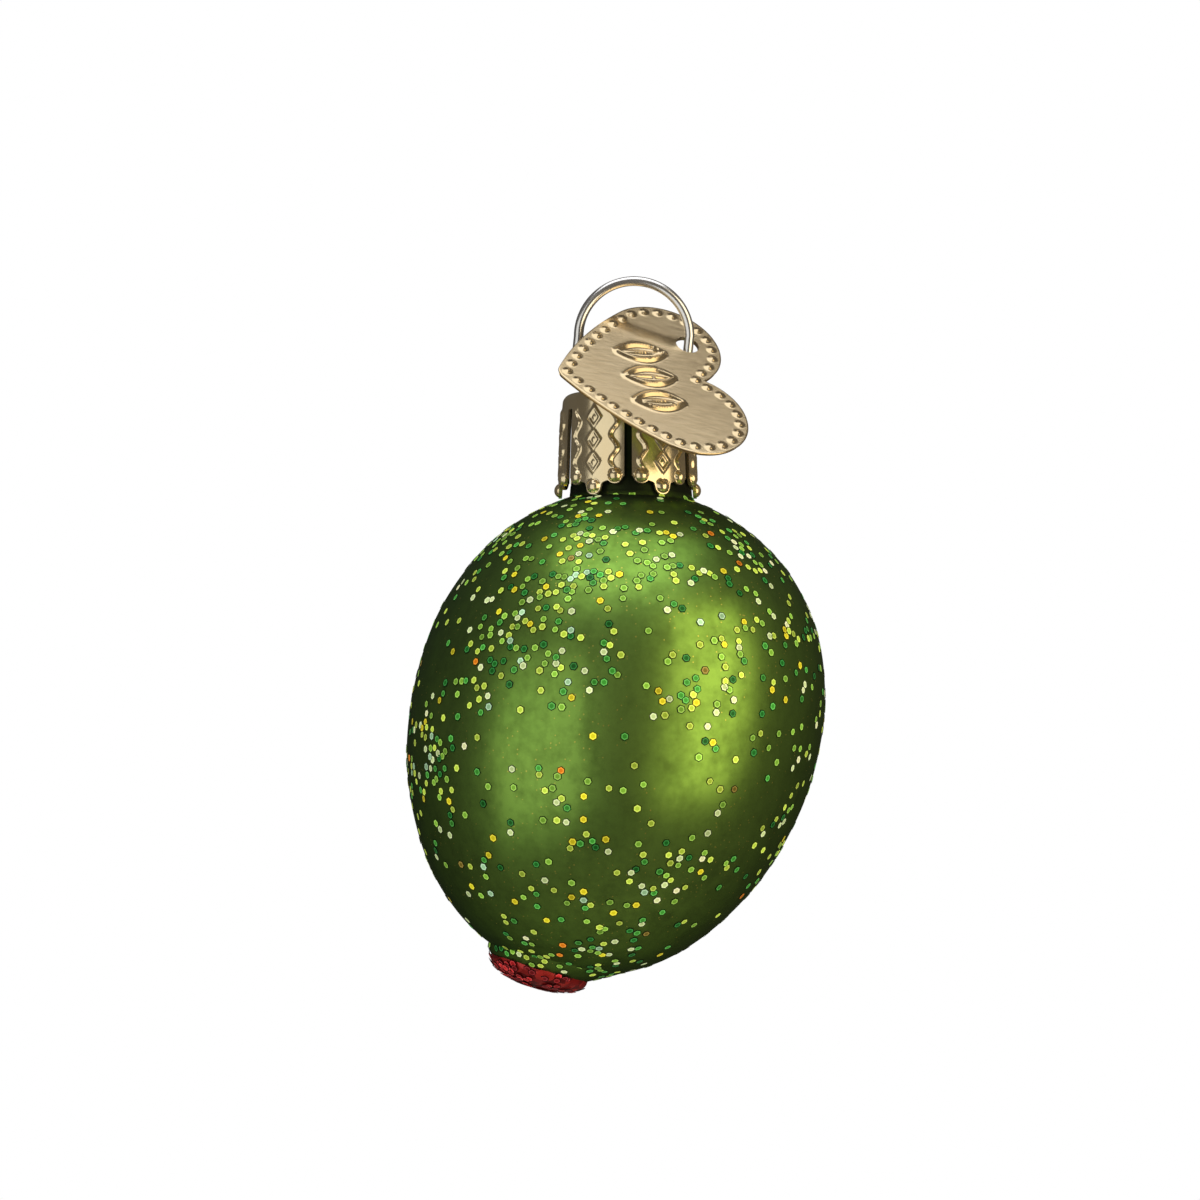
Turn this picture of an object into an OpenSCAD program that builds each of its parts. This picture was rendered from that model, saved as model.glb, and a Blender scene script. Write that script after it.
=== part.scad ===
// Glass olive tree ornament: wire hanger, crown cap, blown olive and heart tag.
// Millimetres, +Z up. The origin is the hang point, the inner top of the wire loop.
// The photo's camera looks along +Y.

/* [Hanger wire] */
// wire diameter
wire_d = 0.9; // [0.7:0.05:1.1]
// inner radius of the hanging loop
eye_r = 4.65; // [4.2:0.05:5.2]
// straight stretch below the loop's half circle, where the tag hangs
side_len = 2.35; // [2:0.05:3]
// distance of each straight leg from the middle
leg_x = 3.95; // [3.85:0.05:4]
// bend radius of the step from loop to leg
bend_r = 1.4; // [1.2:0.05:1.8]
// straight leg left above the cap
leg_gap = 0.8; // [0.6:0.05:1.5]
// leg length below the cap's top face
leg_len = 12.8; // [12.6:0.1:14]

/* [Crown cap] */
// outer diameter of the cap's skirt
cap_d = 12.3; // [12.2:0.05:12.8]
// sheet thickness
cap_sheet = 0.3; // [0.2:0.05:0.4]
// radius of the fold between top and skirt
cap_fold = 0.9; // [0.7:0.05:1]
// width of the slit between two petals
petal_gap = 0.9; // [0.6:0.05:1.2]
// slit end below the cap's top face
slit_top = 1.6; // [1.3:0.1:2.5]
// radius of the rounded lobes at a petal's lower edge
lobe_r = 1.05; // [0.95:0.05:1.15]
// how much lower the middle lobe reaches
lobe_drop = 1.25; // [0.9:0.05:1.5]
// gap between the petal tips and the glass shoulder
tip_gap = 0.25; // [0.25:0.05:0.8]
// diameter of the stamped beads on the lobes
cap_bead_d = 1.2; // [0.9:0.05:1.3]
// side gap around a wire leg in its hole
leg_clear = 0.15; // [0.1:0.01:0.25]

/* [Olive glass] */
// length of the olive along its own axis, without the pimento
olive_len = 45; // [43:0.5:47]
// greatest diameter of the olive
olive_d = 37.4; // [36:0.2:39]
// fullness of the outline, 2 is an ellipse
olive_full = 2.06; // [2:0.01:2.15]
// how much narrower the pimento end is
olive_egg = 0.06; // [0:0.01:0.1]
// lean of the olive's axis from upright
olive_lean = 16.6; // [14:0.2:19]
// sideways shift of the olive's middle from the neck
olive_shift = 1.7; // [1.4:0.05:2]
// glass wall thickness
glass_wall = 0.75; // [0.6:0.05:1]
// neck length above the top of the dome
neck_len = 8.2; // [8:0.1:10]
// neck outer diameter
neck_d = 10.8; // [10.6:0.05:10.9]
// neck bore diameter
neck_bore = 9.4; // [9.2:0.05:9.5]
// thickness of the mirror coat inside the glass
lining_t = 0.2; // [0.15:0.01:0.3]
// how far the mirror coat stops short of the neck
lining_stop = 0.6; // [0.4:0.1:1]

/* [Pimento] */
// diameter of the raised collar around the pimento
collar_d = 10.6; // [10:0.1:11.2]
// how far the collar stands out past the olive's end
collar_out = 0.1; // [0.05:0.01:0.3]
// diameter of the red end
pimento_d = 9.8; // [9.4:0.1:9.9]
// how far the red end stands out of the collar
pimento_h = 2.1; // [1.8:0.1:2.6]
// thickness of the red coat
coat_t = 0.3; // [0.2:0.02:0.4]

/* [Heart tag] */
// sheet thickness
tag_t = 0.4; // [0.3:0.02:0.44]
// radius of each round lobe
tag_lobe_r = 5.5; // [5.3:0.05:5.7]
// distance of a lobe's middle from the tag's middle line
tag_lobe_x = 4.8; // [4.6:0.05:5]
// distance from the lobes' middles down to the tip's
tag_tip_y = 10.45; // [10:0.05:11]
// radius of the rounded tip
tag_tip_r = 1.1; // [1:0.05:1.3]
// radius of the long, slightly bulging sides
tag_side_r = 30; // [26:0.5:40]
// diameter of the punched hole
tag_hole_d = 2.2; // [2.1:0.05:2.4]
// diameter of the beads in the border
tag_bead_d = 0.9; // [0.7:0.05:1]
// height of the beads
tag_bead_h = 0.25; // [0.15:0.01:0.3]
// distance of the bead row from the edge
tag_bead_in = 0.85; // [0.8:0.05:0.95]
// beads on each half of the border, between tip and notch
tag_bead_n = 19; // [17:1:20]
// lean of the tag's face from level
tag_lean = 46; // [45:0.5:48]
// turn of the tag about the wire, towards the right
tag_turn = 23; // [22:0.5:30]
// turn of the heart in its own plane
tag_roll = -92; // [-95:0.5:-90]

/* [Hidden] */
$fn = 96;
wire_r = wire_d / 2;
joint_r = wire_r + 0.012;
loop_r = eye_r + wire_r;
bend_a = acos(1 - (loop_r - leg_x) / (2 * bend_r));
bend_h = 2 * bend_r * sin(bend_a);
side_z = -eye_r - side_len;
leg_z = side_z - bend_h;
cap_z = leg_z - leg_gap;
cap_r = cap_d / 2;
rim_gap = 0.25;

// cap details: petals, lobes and beads, and the skirt that leans and flares a little
petals = 6;
petal_turn = 360 / petals;
lobe_turn = 16.5;
lobe_join = 0.4;
cap_bead_h = 0.27;
skirt_lean = 0.15;
skirt_bend = 3.2;
skirt_flare = 0.1;
skirt_spare = 0.5;
rim_z = cap_z - cap_sheet - rim_gap;
dome_z = rim_z - neck_len;

// olive outline: u runs from the neck end to the pimento end
half_len = olive_len / 2;
half_d = olive_d / 2;
function olive_r(u, a, b) =
  b * (1 - olive_egg * u / a) * pow(1 - pow(abs(u) / a, olive_full), 1 / olive_full);
function olive_u(i, a) = -a * cos(i * 180 / 48);
function olive_outline(inset) = let (a = half_len - inset, b = half_d - inset)
  concat([[0, a]], [for (i = [1:47]) [olive_r(olive_u(i, a), a, b), -olive_u(i, a)]], [[0, -a]]);
dome_scan = [for (i = [1:600]) let (u = -half_len * cos(i * 0.1), r = olive_r(u, half_len, half_d))
  [r * sin(olive_lean) - u * cos(olive_lean), -u * sin(olive_lean) - r * cos(olive_lean)]];
dome_h = max([for (q = dome_scan) q[0]]);
dome_x = [for (q = dome_scan) if (q[0] == dome_h) q[1]][0] - olive_shift;
olive_z = dome_z - dome_h;

// least drop of the shoulder below the dome's top, on a circle about the neck's axis
dome_bow = 1.12 * half_d * half_d / half_len;
function shoulder(r) = pow(r - abs(dome_x), 2) / (2 * dome_bow);
tip_z = dome_z - shoulder(cap_r + skirt_flare) + tip_gap;

// pimento end: heights along the olive's axis, measured from its middle
collar_u = half_len + collar_out;
collar_h = 1.6;
neck_root = 2.2;
pimento_r = pimento_d / 2;
function end_dome(r, h) = concat(
  [[r, 0]],
  [for (i = [1:11]) let (q = i * 90 / 12) [r * pow(cos(q), 0.8), -h * pow(sin(q), 0.9)]],
  [[0, -h]]);

// outline of the space inside the glass, from the neck end to the end of the nub
function inside_outline(inset) =
  let (w = glass_wall + inset, a = half_len - w, b = half_d - w, r = pimento_r - coat_t - w)
  concat(
    [[0, a]],
    [for (i = [1:47]) let (u = olive_u(i, a), q = olive_r(u, a, b)) if (u < 0 || q > r + 0.3) [q, -u]],
    [for (p = end_dome(r, pimento_h - coat_t - w)) p - [0, collar_u]]);
function backwards(list) = [for (i = [len(list) - 1:-1:0]) list[i]];

// heart outline: arcs that meet without a corner
lobe_c = [tag_lobe_x, 0];
tip_c = [0, -tag_tip_y];
side_lobe = tag_side_r - tag_lobe_r;
side_tip = tag_side_r - tag_tip_r;
side_gap = norm(lobe_c - tip_c);
side_dir = (tip_c - lobe_c) / side_gap;
side_along = (side_lobe * side_lobe - side_tip * side_tip + side_gap * side_gap) / (2 * side_gap);
side_off = sqrt(side_lobe * side_lobe - side_along * side_along);
side_c = lobe_c + side_along * side_dir + side_off * [side_dir[1], -side_dir[0]];
lobe_out = (lobe_c - side_c) / side_lobe;
tip_out = (tip_c - side_c) / side_tip;
tag_hole = [-5.05, 2.4];

// place of the tag's hole on the wire: its share of the straight side, and its play
tag_drop = 0.4;
tag_play = 0.05;

// bead row: four arcs on the right half, from the notch to the tip
row_lobe_r = tag_lobe_r - tag_bead_in;
row_side_r = tag_side_r - tag_bead_in;
row_tip_r = tag_tip_r - tag_bead_in;
row_a0 = 180 - acos(tag_lobe_x / tag_lobe_r);
row_a1 = atan2(lobe_out[1], lobe_out[0]);
row_a2 = atan2(tip_out[1], tip_out[0]);
notch_c = [0, tag_lobe_r * sin(row_a0)];
row_s0 = tag_bead_in * (row_a0 - 90) * PI / 180;
row_s1 = row_s0 + row_lobe_r * (row_a0 - row_a1) * PI / 180;
row_s2 = row_s1 + row_side_r * (row_a1 - row_a2) * PI / 180;
row_s3 = row_s2 + row_tip_r * (row_a2 + 90) * PI / 180;
function on_arc(c, r, a) = c + r * [cos(a), sin(a)];
function row_at(s) =
  s < row_s0 ? on_arc(notch_c, tag_bead_in, s / tag_bead_in * 180 / PI - 90) :
  s < row_s1 ? on_arc(lobe_c, row_lobe_r, row_a0 - (s - row_s0) / row_lobe_r * 180 / PI) :
  s < row_s2 ? on_arc(side_c, row_side_r, row_a1 - (s - row_s1) / row_side_r * 180 / PI) :
  on_arc(tip_c, row_tip_r, row_a2 - (s - row_s2) / row_tip_r * 180 / PI);
row_step = row_s3 / (tag_bead_n + 1);
row_right = [for (i = [1:tag_bead_n]) row_at(i * row_step)];
row_beads = concat(
  [row_at(0), row_at(row_s3)],
  row_right,
  [for (p = row_right) [-p[0], p[1]]]);

// one side of the wire: straight side, step and leg, with a ball where two stretches meet
module wire_side() {
  translate([loop_r, 0, side_z]) cylinder(h = side_len, r = wire_r);
  translate([loop_r - bend_r, 0, side_z]) rotate([-90, 0, 0])
    rotate_extrude(angle = bend_a) translate([bend_r, 0]) circle(wire_r);
  translate([leg_x + bend_r, 0, leg_z]) rotate([-90, 0, 0]) rotate([0, 0, 180])
    rotate_extrude(angle = bend_a) translate([bend_r, 0]) circle(wire_r);
  translate([leg_x, 0, cap_z - leg_len]) cylinder(h = leg_len + leg_gap, r = wire_r);
  step_mid = [(loop_r + leg_x) / 2, (side_z + leg_z) / 2];
  for (p = [[loop_r, -eye_r], [loop_r, side_z], step_mid, [leg_x, leg_z]])
    translate([p[0], 0, p[1]]) sphere(joint_r);
}

module hanger_wire() {
  color([0.78, 0.78, 0.80]) union() {
    translate([0, 0, -eye_r]) rotate([90, 0, 0])
      rotate_extrude(angle = 180) translate([loop_r, 0]) circle(wire_r);
    wire_side();
    mirror([1, 0, 0]) wire_side();
  }
}

// section of the cap: flat top, fold, skirt leaning out a little
module cap_section() {
  fold_r = cap_r - skirt_lean - cap_fold;
  fold_in = cap_fold - cap_sheet;
  skirt_end = tip_z - skirt_spare;
  skirt_r = cap_r + skirt_flare;
  outer = [for (i = [0:6]) let (q = 90 - i * 15)
    [fold_r + cap_fold * cos(q), cap_z - cap_fold + cap_fold * sin(q)]];
  inner = [for (i = [0:6]) let (q = i * 15)
    [fold_r + fold_in * cos(q), cap_z - cap_fold + fold_in * sin(q)]];
  polygon(concat(
    [[0, cap_z]],
    outer,
    [[cap_r, cap_z - skirt_bend], [skirt_r, skirt_end]],
    [[skirt_r - cap_sheet, skirt_end], [cap_r - cap_sheet, cap_z - skirt_bend]],
    inner,
    [[0, cap_z - cap_sheet]]));
}

// middles of the three lobes of one petal: angle from the petal's middle and height
lobe_z = tip_z + lobe_r + lobe_drop;
lobe_spots = [[0, tip_z + lobe_r], [-lobe_turn, lobe_z], [lobe_turn, lobe_z]];

module crown_cap() {
  bead_r = (cap_bead_d * cap_bead_d / 4 + cap_bead_h * cap_bead_h) / (2 * cap_bead_h);
  bead_x = cap_r + 0.8 * skirt_flare + cap_bead_h - bead_r;
  color([0.83, 0.66, 0.28]) difference() {
    union() {
      intersection() {
        rotate_extrude() cap_section();
        union() {
          translate([0, 0, lobe_z - lobe_join]) cylinder(h = 30, r = cap_r + 3);
          for (k = [1:petals], s = lobe_spots)
            rotate([0, 0, k * petal_turn + s[0]]) translate([cap_r - 2, 0, s[1]])
              rotate([0, 90, 0]) cylinder(h = 4, r = lobe_r);
        }
      }
      difference() {
        for (k = [1:petals], s = lobe_spots)
          rotate([0, 0, k * petal_turn + s[0]]) translate([bead_x, 0, s[1]]) sphere(bead_r);
        translate([0, 0, tip_z - 3]) cylinder(h = 8, r = cap_r - skirt_flare);
      }
    }
    for (k = [1:petals])
      rotate([0, 0, (k - 0.5) * petal_turn]) translate([cap_r - 2.5, -petal_gap / 2, tip_z - 3])
        cube([6, petal_gap, cap_z - slit_top - tip_z + 3]);
    for (x = [-leg_x, leg_x])
      translate([x, 0, cap_z - 1]) cylinder(h = 2, r = wire_r + leg_clear);
  }
}

// places children on the olive's own axis, with the pimento end down
module on_olive() {
  translate([-olive_shift, 0, olive_z]) rotate([0, olive_lean, 0]) children();
}

module pimento_end(inset) {
  translate([0, 0, -collar_u]) rotate_extrude()
    polygon(concat([[0, 0]], end_dome(pimento_r - inset, pimento_h - inset)));
}

module olive_shell() {
  color([0.42, 0.55, 0.16, 0.35]) difference() {
    union() {
      on_olive() {
        rotate_extrude() polygon(olive_outline(0));
        translate([0, 0, -collar_u])
          cylinder(h = collar_h, r1 = pimento_r, r2 = collar_d / 2);
        pimento_end(coat_t);
      }
      translate([0, 0, dome_z - neck_root]) cylinder(h = neck_len + neck_root, d = neck_d);
    }
    on_olive() rotate_extrude() polygon(inside_outline(0));
    translate([0, 0, dome_z - 4]) cylinder(h = rim_z - dome_z + 8, d = neck_bore);
  }
}

module silver_lining() {
  color([0.80, 0.82, 0.84]) difference() {
    on_olive() rotate_extrude()
      polygon(concat(inside_outline(0), backwards(inside_outline(lining_t))));
    translate([0, 0, dome_z - 8]) cylinder(h = 20, r = neck_bore / 2 + lining_stop);
  }
}

module pimento_coat() {
  color([0.70, 0.05, 0.05]) on_olive() difference() {
    pimento_end(0);
    pimento_end(coat_t);
  }
}

module heart_flat() {
  for (s = [0, 1]) mirror([s, 0]) {
    translate(lobe_c) circle(tag_lobe_r);
    intersection() {
      translate(side_c) circle(tag_side_r, $fn = 360);
      polygon([lobe_c, lobe_c + 20 * lobe_out, tip_c + 20 * tip_out, tip_c]);
    }
  }
  polygon([lobe_c, [-tag_lobe_x, 0], tip_c]);
  translate(tip_c) circle(tag_tip_r);
}

module heart_tag() {
  bead_r = (tag_bead_d * tag_bead_d / 4 + tag_bead_h * tag_bead_h) / (2 * tag_bead_h);
  color([0.80, 0.66, 0.36])
    translate([loop_r + tag_play, 0, -eye_r - tag_drop * side_len]) rotate([tag_lean, 0, tag_turn])
      rotate([0, 0, tag_roll]) translate([-tag_hole[0], -tag_hole[1], -tag_t / 2]) {
        difference() {
          linear_extrude(tag_t) heart_flat();
          translate([tag_hole[0], tag_hole[1], -1]) cylinder(h = 3, d = tag_hole_d);
        }
        for (p = row_beads)
          difference() {
            translate([p[0], p[1], tag_t + tag_bead_h - bead_r]) sphere(bead_r);
            translate([p[0] - 2, p[1] - 2, tag_t - 4.05]) cube(4);
          }
      }
}

hanger_wire();
crown_cap();
olive_shell();
silver_lining();
pimento_coat();
heart_tag();
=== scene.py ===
import bpy
import bmesh
import math
import random
from mathutils import Matrix, Vector, noise


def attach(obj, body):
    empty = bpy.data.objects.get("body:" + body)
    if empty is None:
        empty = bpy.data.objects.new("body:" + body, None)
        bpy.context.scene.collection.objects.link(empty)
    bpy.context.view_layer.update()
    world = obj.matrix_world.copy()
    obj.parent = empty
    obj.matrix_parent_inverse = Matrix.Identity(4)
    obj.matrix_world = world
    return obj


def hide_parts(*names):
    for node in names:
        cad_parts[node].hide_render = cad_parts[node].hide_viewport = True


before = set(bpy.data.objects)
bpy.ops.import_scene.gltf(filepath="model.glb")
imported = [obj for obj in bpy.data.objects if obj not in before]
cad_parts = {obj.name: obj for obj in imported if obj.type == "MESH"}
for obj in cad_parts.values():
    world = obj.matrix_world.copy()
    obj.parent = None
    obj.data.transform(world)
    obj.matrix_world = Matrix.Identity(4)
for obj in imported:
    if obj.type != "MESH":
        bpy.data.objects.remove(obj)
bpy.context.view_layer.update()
mm = 0.001
weldGap = 0.002 * mm           # points closer than this are merged
fullTurn = 2 * math.pi
print("frame loaded")


# tools shared by the pieces; their sizes are in millimetres and meshes in metres

def deselectAll():
    if bpy.context.mode != "OBJECT":
        bpy.ops.object.mode_set(mode="OBJECT")
    bpy.ops.object.select_all(action="DESELECT")


def takeActive(name):
    piece = bpy.context.active_object
    piece.name = name
    piece.data.name = name
    return piece


def makeActive(piece):
    deselectAll()
    piece.select_set(True)
    bpy.context.view_layer.objects.active = piece


def openMesh(piece):
    makeActive(piece)
    bpy.ops.object.mode_set(mode="EDIT")
    return bmesh.from_edit_mesh(piece.data)


def closeMesh(piece):
    bmesh.update_edit_mesh(piece.data)
    bpy.ops.object.mode_set(mode="OBJECT")


def addModifier(piece, kind, **settings):
    makeActive(piece)
    modifier = piece.modifiers.new(kind.lower(), kind)
    for key, value in settings.items():
        setattr(modifier, key, value)
    bpy.ops.object.modifier_apply(modifier=modifier.name)


def cutWith(piece, tool, operation):
    addModifier(piece, "BOOLEAN", operation=operation, object=tool, solver="EXACT")
    bpy.data.objects.remove(tool)


def faceOutwards(piece):
    openMesh(piece)
    bpy.ops.mesh.select_all(action="SELECT")
    bpy.ops.mesh.remove_doubles(threshold=weldGap)
    bpy.ops.mesh.normals_make_consistent(inside=False)
    closeMesh(piece)


def flipFaces(piece):
    openMesh(piece)
    bpy.ops.mesh.select_all(action="SELECT")
    bpy.ops.mesh.flip_normals()
    closeMesh(piece)


# closes the hole that the innermost ring of a sheet leaves at its middle
def fillMiddle(piece, mesh, middle, reach):
    bpy.ops.mesh.select_all(action="DESELECT")
    for edge in mesh.edges:
        near = all((v.co.xy - middle).length < reach for v in edge.verts)
        edge.select_set(edge.is_boundary and near)
    bmesh.update_edit_mesh(piece.data)
    bpy.ops.mesh.edge_face_add()
    bpy.ops.mesh.select_all(action="SELECT")
    bpy.ops.mesh.normals_make_consistent(inside=False)
    closeMesh(piece)
    piece.data.update()


def place(piece, matrix):
    makeActive(piece)
    piece.matrix_world = matrix
    bpy.ops.object.transform_apply(location=True, rotation=True, scale=True)


def shadeSmooth(piece, degrees):
    makeActive(piece)
    bpy.ops.object.shade_smooth_by_angle(angle=math.radians(degrees))


def finishPiece(piece, shade, body, node=None):
    piece.data.materials.clear()
    piece.data.materials.append(shade.material)
    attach(piece, body)
    if node:
        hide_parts(node)
    print(piece.name, "done,", len(piece.data.polygons), "faces")


# a circle laid on the first ring and pulled through the others with the extrude tool
def pullRings(name, rings, fill="NGON"):
    deselectAll()
    bpy.ops.mesh.primitive_circle_add(vertices=len(rings[0]), radius=1 * mm, fill_type=fill)
    piece = takeActive(name)
    for vertex, spot in zip(piece.data.vertices, rings[0]):
        vertex.co = spot
    openMesh(piece)
    bpy.ops.mesh.select_all(action="SELECT")
    for ring in rings[1:]:
        bpy.ops.mesh.extrude_region_move()
        mesh = bmesh.from_edit_mesh(piece.data)
        picked = sorted((v for v in mesh.verts if v.select), key=lambda v: v.index)
        for vertex, spot in zip(picked, ring):
            vertex.co = spot
        bmesh.update_edit_mesh(piece.data)
    closeMesh(piece)
    return piece


def levelRing(radius, level, sides, shift=0.0):
    turns = [fullTurn * k / sides for k in range(sides)]
    return [Vector((radius * math.cos(t) + shift, radius * math.sin(t), level)) * mm for t in turns]


def lathe(name, profile, sides):
    piece = pullRings(name, [levelRing(radius, level, sides) for radius, level in profile])
    faceOutwards(piece)
    return piece


def between(low, value, high):
    return max(low, min(high, value))


def bump(distance, width):
    return math.exp(-(distance / width) ** 2)


# shader tools

class Tone:
    def __init__(self, shade, socket):
        self.shade = shade
        self.socket = socket

    def calc(self, operation, first, second):
        return self.shade.node("ShaderNodeMath", {"operation": operation}, {0: first, 1: second})

    def __add__(self, other):
        return self.calc("ADD", self, other)

    def __radd__(self, other):
        return self.calc("ADD", other, self)

    def __sub__(self, other):
        return self.calc("SUBTRACT", self, other)

    def __rsub__(self, other):
        return self.calc("SUBTRACT", other, self)

    def __mul__(self, other):
        return self.calc("MULTIPLY", self, other)

    def __rmul__(self, other):
        return self.calc("MULTIPLY", other, self)

    def __gt__(self, other):
        return self.calc("GREATER_THAN", self, other)

    def __lt__(self, other):
        return self.calc("LESS_THAN", self, other)


class Shade:
    def __init__(self, name):
        self.material = bpy.data.materials.new(name)
        self.material.use_nodes = True
        self.tree = self.material.node_tree
        self.tree.nodes.clear()

    def node(self, kind, settings=None, inputs=None, out=0):
        made = self.tree.nodes.new(kind)
        for key, value in (settings or {}).items():
            if key == "stops":
                ramp = made.color_ramp
                while len(ramp.elements) < len(value):
                    ramp.elements.new(0.5)
                for element, (position, colour) in zip(ramp.elements, value):
                    element.position = position
                    element.color = colour
            else:
                setattr(made, key, value)
        for key, value in (inputs or {}).items():
            if isinstance(value, Tone):
                self.tree.links.new(value.socket, made.inputs[key])
            else:
                made.inputs[key].default_value = value
        return Tone(self, made.outputs[out])

    def objectPlace(self):
        return self.node("ShaderNodeTexCoord", out="Object")

    def stretched(self, where, turn, scale):
        return self.node("ShaderNodeMapping", {}, {"Vector": where, "Rotation": turn,
                                                   "Scale": scale}, "Vector")

    def noise(self, where, scale, detail=3.0, rough=0.5):
        return self.node("ShaderNodeTexNoise", {}, {"Vector": where, "Scale": scale, "Detail": detail,
                                                    "Roughness": rough}, "Fac")

    def cells(self, where, scale, out):
        return self.node("ShaderNodeTexVoronoi", {}, {"Vector": where, "Scale": scale}, out)

    def redOf(self, colour):
        return self.node("ShaderNodeSeparateColor", {}, {0: colour}, 0)

    def limit(self, value):
        return self.node("ShaderNodeClamp", {}, {"Value": value})

    def mix(self, factor, first, second):
        return self.node("ShaderNodeMix", {"data_type": "RGBA"}, {0: factor, 6: first, 7: second}, 2)

    def ramp(self, factor, stops):
        return self.node("ShaderNodeValToRGB", {"stops": stops}, {0: factor}, "Color")

    def bump(self, height, strength, distance):
        return self.node("ShaderNodeBump", {}, {"Height": height, "Strength": strength,
                                                "Distance": distance}, "Normal")

    def output(self, shader):
        made = self.tree.nodes.new("ShaderNodeOutputMaterial")
        self.tree.links.new(shader.socket, made.inputs["Surface"])

    def surface(self, **inputs):
        named = {key.replace("_", " "): value for key, value in inputs.items()}
        self.output(self.node("ShaderNodeBsdfPrincipled", {}, named, "BSDF"))


# camera and light

viewSpec = dict(
    distance=400 * mm,          # from the ornament's axis
    elevation=-3,               # a little from below
    target=(-2.84 * mm, 0, -28.96 * mm),
    frameWidth=110.1 * mm,      # width that fills the picture at the axis
    sensor=36,
    nearClip=0.01,
)


def addCamera():
    deselectAll()
    spec = viewSpec
    tilt = math.radians(spec["elevation"])
    target = Vector(spec["target"])
    spot = target + spec["distance"] * Vector((0, -math.cos(tilt), math.sin(tilt)))
    bpy.ops.object.camera_add(location=spot, rotation=(math.radians(90) - tilt, 0, 0))
    camera = bpy.context.active_object
    camera.name = "photoCamera"
    camera.data.sensor_width = spec["sensor"]
    camera.data.lens = spec["sensor"] * spec["distance"] / spec["frameWidth"]
    camera.data.clip_start = spec["nearClip"]
    bpy.context.scene.camera = camera
    print("camera ready")


lampAim = (0, 0, -0.038)        # middle of the ornament
lampSpecs = [
    dict(name="topSoftbox", spot=(-0.021, -0.12, 0.48), size=(0.56, 0.56), glow=1.48, tint=(1.0, 1.0, 1.0)),
    dict(name="rightSoftbox", spot=(0.385, -0.305, 0.02), size=(0.42, 0.70), glow=2.0,
         tint=(1.0, 0.83, 0.54)),
    dict(name="leftFill", spot=(-0.34, -0.385, -0.09), size=(0.56, 0.60), glow=0.80, tint=(1.0, 0.99, 0.93)),
]


def addLamps():
    aim = Vector(lampAim)
    for spec in lampSpecs:
        deselectAll()
        spot = Vector(spec["spot"])
        bpy.ops.object.light_add(type="AREA", location=spot)
        lamp = bpy.context.active_object
        lamp.name = spec["name"]
        lamp.rotation_euler = (aim - spot).to_track_quat("-Z", "Y").to_euler()
        wide, high = spec["size"]
        lamp.data.shape = "RECTANGLE"
        lamp.data.size = wide
        lamp.data.size_y = high
        lamp.data.color = spec["tint"]
        lamp.data.energy = spec["glow"] * math.pi * wide * high
    print("lamps ready")


stageSpec = dict(
    roomTone=(0.062, 0.056, 0.050, 1),
    floorHeight=-0.76,
    floorSize=3.0,
    floorTones=((0.60, 0.59, 0.57, 1), (0.72, 0.71, 0.69, 1)),
    floorGrain=40.0,
    backdropAway=3.6,
    backdropHeight=0.16,
    backdropSize=1.2,
    backdropTone=(0.8, 0.8, 0.8, 1),
)


def addStage():
    spec = stageSpec
    scene = bpy.context.scene
    scene.view_settings.view_transform = "Standard"
    world = bpy.data.worlds.new("studio")
    scene.world = world
    world.use_nodes = True
    world.node_tree.nodes["Background"].inputs["Color"].default_value = spec["roomTone"]
    world.node_tree.nodes["Background"].inputs["Strength"].default_value = 1.0

    deselectAll()
    bpy.ops.mesh.primitive_plane_add(size=spec["floorSize"], location=(0, 0, spec["floorHeight"]))
    floor = takeActive("floor")
    floorShade = Shade("paleFloor")
    grain = floorShade.noise(floorShade.objectPlace(), spec["floorGrain"])
    floorShade.surface(Base_Color=floorShade.mix(grain, *spec["floorTones"]), Roughness=0.8)
    floor.data.materials.append(floorShade.material)

    # white where it is seen, plain paper for the light that falls on it
    deselectAll()
    bpy.ops.mesh.primitive_plane_add(size=spec["backdropSize"], rotation=(math.radians(90), 0, 0),
                                     location=(0, spec["backdropAway"], spec["backdropHeight"]))
    backdrop = takeActive("backdrop")
    paper = Shade("whiteBackdrop")
    seen = [paper.node("ShaderNodeLightPath", out=name)
            for name in ("Is Camera Ray", "Is Glossy Ray", "Is Transmission Ray")]
    shown = seen[0] + seen[1] + seen[2]
    plain = paper.node("ShaderNodeBsdfDiffuse", {}, {"Color": spec["backdropTone"]})
    white = paper.node("ShaderNodeEmission", {}, {"Color": (1, 1, 1, 1), "Strength": 1.0})
    paper.output(paper.node("ShaderNodeMixShader", {}, {0: shown, 1: plain, 2: white}))
    backdrop.data.materials.append(paper.material)
    print("stage ready")


# finishes: rough is the least roughness and its span, relief a bump's strength and depth

wireLook = dict(dull=(0.80, 0.80, 0.81, 1), bright=(0.92, 0.92, 0.92, 1), drawScale=900.0,
                rough=(0.16, 0.10), relief=(0.10, 0.03 * mm))


def wireFinish():
    look = wireLook
    shade = Shade("brightSteelWire")
    drawn = shade.noise(shade.objectPlace(), look["drawScale"], detail=2.0)
    least, span = look["rough"]
    shade.surface(Base_Color=shade.mix(drawn, look["dull"], look["bright"]), Metallic=0.9,
                  Roughness=drawn * span + least, Normal=shade.bump(drawn, *look["relief"]))
    return shade


capLook = dict(deep=(0.94, 0.74, 0.43, 1), pale=(1.0, 0.88, 0.61, 1), cloudScale=350.0, fineScale=2600.0,
               rough=(0.14, 0.10), relief=(0.12, 0.03 * mm))


def capFinish():
    look = capLook
    shade = Shade("goldCrownSheet")
    where = shade.objectPlace()
    cloud = shade.noise(where, look["cloudScale"], detail=4.0)
    fine = shade.noise(where, look["fineScale"], detail=2.0)
    least, span = look["rough"]
    shade.surface(Base_Color=shade.mix(cloud, look["deep"], look["pale"]), Metallic=0.85,
                  Roughness=cloud * span + least, Normal=shade.bump(fine, *look["relief"]))
    return shade


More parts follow.
